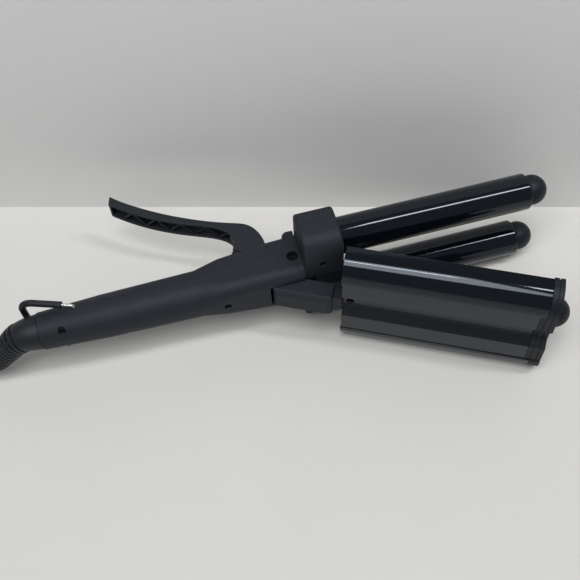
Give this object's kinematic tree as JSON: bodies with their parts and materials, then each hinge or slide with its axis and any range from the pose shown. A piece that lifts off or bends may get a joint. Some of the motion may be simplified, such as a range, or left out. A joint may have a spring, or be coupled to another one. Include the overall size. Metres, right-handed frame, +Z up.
{
  "type": "hair waver",
  "caption": "Corded hair waver: fixed parallel barrels, a lever-worked sprung jaw with a middle barrel and curved heated plate, a hanging loop and push buttons.",
  "frame": {"origin": "on the surface that the tool lies on, under the middle of the tool's box without its cord", "axes": "+X from the cord end to the barrel tips, +Y towards the lever side, +Z up from the left side, on which the tool lies"},
  "size_m": [0.5644, 0.2785, 0.087],
  "materials": {
    "charcoal_plastic": "fine matt texture",
    "gloss_black_coating": "smooth gloss coating on aluminium",
    "matt_black_plastic": "matt",
    "insulating_plastic": "plain moulded",
    "black_rubber": "satin",
    "black_cord": "smooth sheath",
    "red_lead": "silicone sheath",
    "steel": "plain zinc plated",
    "nickel_plate": "bright",
    "heater_ceramic": "fired",
    "clamp_aluminium": "extruded",
    "circuit_board": "solder mask",
    "display_glass": "smoked clear plastic",
    "panel_black": "gloss",
    "button_gray": "satin"
  },
  "bodies": {
    "handle": {"handle_top_shell": "charcoal_plastic", "handle_bottom_shell": "charcoal_plastic", "handle_screws": "steel", "collar_upper_half": "charcoal_plastic", "collar_lower_half": "charcoal_plastic", "collar_screws": "steel", "barrel_right": "gloss_black_coating", "barrel_left": "gloss_black_coating", "barrel_tip_right": "matt_black_plastic", "barrel_tip_left": "matt_black_plastic", "barrel_seat_right": "insulating_plastic", "barrel_seat_left": "insulating_plastic", "heater_core_right": "heater_ceramic", "heater_core_left": "heater_ceramic", "heater_clamps_right": "clamp_aluminium", "heater_clamps_left": "clamp_aluminium", "pivot_pin": "steel", "return_spring": "steel", "control_board": "circuit_board", "control_panel": "panel_black", "display_module": "panel_black", "display_window": "display_glass", "heater_leads": "red_lead", "mains_leads": "black_cord", "cord_boot": "black_rubber", "cord": "black_cord", "cord_coil": "black_cord", "cord_tie": "black_cord", "plug_body": "matt_black_plastic", "plug_pins": "nickel_plate"},
    "jaw": {"jaw_arm": "charcoal_plastic", "lever": "charcoal_plastic", "lever_screws": "steel", "jaw_plate": "gloss_black_coating", "jaw_cover_right": "gloss_black_coating", "jaw_cover_left": "gloss_black_coating", "jaw_spine": "matt_black_plastic", "jaw_end_cap": "matt_black_plastic", "jaw_screw": "steel", "barrel_middle": "gloss_black_coating", "barrel_tip_middle": "matt_black_plastic", "barrel_rear_plug": "matt_black_plastic", "heater_core_middle": "heater_ceramic", "heater_clamps_middle": "clamp_aluminium"},
    "hanging_loop": {"hanger_wire": "steel", "hanger_sleeve": "black_rubber"},
    "minus_button": {"minus_button": "button_gray"},
    "plus_button": {"plus_button": "button_gray"},
    "power_button": {"power_button": "button_gray"}
  },
  "joints": [
    {"name": "jaw_hinge", "type": "hinge", "parent": "handle", "child": "jaw", "pos_m": [0.00183, 0.00097, 0.0435], "axis": [0, 0, 1], "range_deg": [0, 27.5], "stiffness_Nm_per_rad": 0.6, "springref_deg": -20.05},
    {"name": "hanging_loop_hinge", "type": "hinge", "parent": "handle", "child": "hanging_loop", "pos_m": [-0.14517, 0.00517, 0.0435], "axis": [0, 0, -1], "range_deg": [-3, 90]},
    {"name": "minus_button_press", "type": "slide", "parent": "handle", "child": "minus_button", "axis": [0, -1, 0], "range_m": [0, 0.0008], "stiffness_N_per_m": 600},
    {"name": "plus_button_press", "type": "slide", "parent": "handle", "child": "plus_button", "axis": [0, -1, 0], "range_m": [0, 0.0008], "stiffness_N_per_m": 600},
    {"name": "power_button_press", "type": "slide", "parent": "handle", "child": "power_button", "axis": [0, -1, 0], "range_m": [0, 0.0008], "stiffness_N_per_m": 600}
  ]
}
